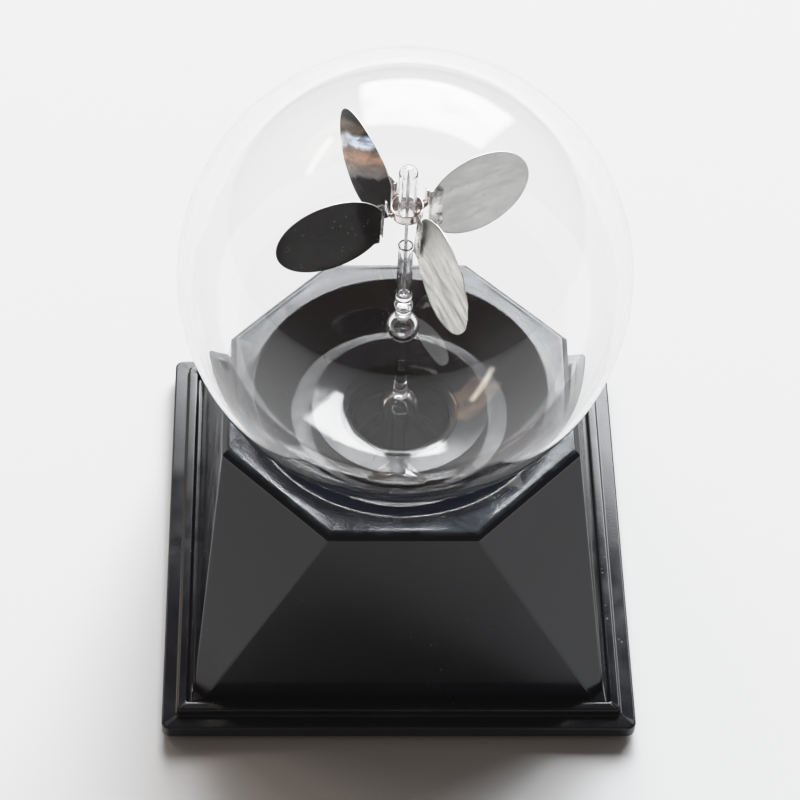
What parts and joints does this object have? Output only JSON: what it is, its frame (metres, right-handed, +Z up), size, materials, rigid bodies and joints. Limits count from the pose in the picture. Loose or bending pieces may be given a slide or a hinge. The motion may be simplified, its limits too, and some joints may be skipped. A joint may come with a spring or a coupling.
{
  "type": "radiometer",
  "caption": "Light mill: a clear glass globe with a rotor of black and silver vanes on a needle, standing in a square-footed octagonal pedestal.",
  "frame": {"origin": "under the centre of the base, on the plane of the feet", "axes": "+Z up along the axis of the bulb, the stem and the mill; +X and +Y square to the sides of the base, -Y towards the front"},
  "size_m": [0.09, 0.09, 0.1232],
  "materials": {
    "black_plastic": "moulded black plastic, satin outside and polished in the seat",
    "dark_rubber": "matt",
    "screw_steel": "plated",
    "bright_steel": "bright",
    "clear_glass": "clear, polished",
    "blackened_foil": "one face gloss black, the other matt silver"
  },
  "bodies": {
    "base": {"pedestal_shell": "black_plastic", "bottom_cover": "black_plastic", "cover_screw_1": "screw_steel", "cover_screw_2": "screw_steel", "cover_screw_3": "screw_steel", "cover_screw_4": "screw_steel", "foot_1": "dark_rubber", "foot_2": "dark_rubber", "foot_3": "dark_rubber", "foot_4": "dark_rubber", "neck_grommet": "dark_rubber"},
    "bulb": {"glass_bulb": "clear_glass", "stem_flare": "clear_glass", "exhaust_tube": "clear_glass", "stem_rod": "clear_glass", "bead_ball": "clear_glass", "bead_ring": "clear_glass", "needle_tube": "clear_glass", "needle": "bright_steel"},
    "rotor": {"glass_cap": "clear_glass", "hub_collar": "bright_steel", "vane_clip_1": "bright_steel", "vane_clip_2": "bright_steel", "vane_clip_3": "bright_steel", "vane_clip_4": "bright_steel", "vane_1": "blackened_foil", "vane_2": "blackened_foil", "vane_3": "blackened_foil", "vane_4": "blackened_foil"}
  },
  "joints": [
    {"name": "bulb_lift", "type": "slide", "parent": "base", "child": "bulb", "axis": [0, 0, 1], "range_m": [0, 0.05]},
    {"name": "rotor_spin", "type": "hinge", "parent": "bulb", "child": "rotor", "pos_m": [0, 0, 0.1097], "axis": [0, 0, 1], "continuous": true}
  ]
}
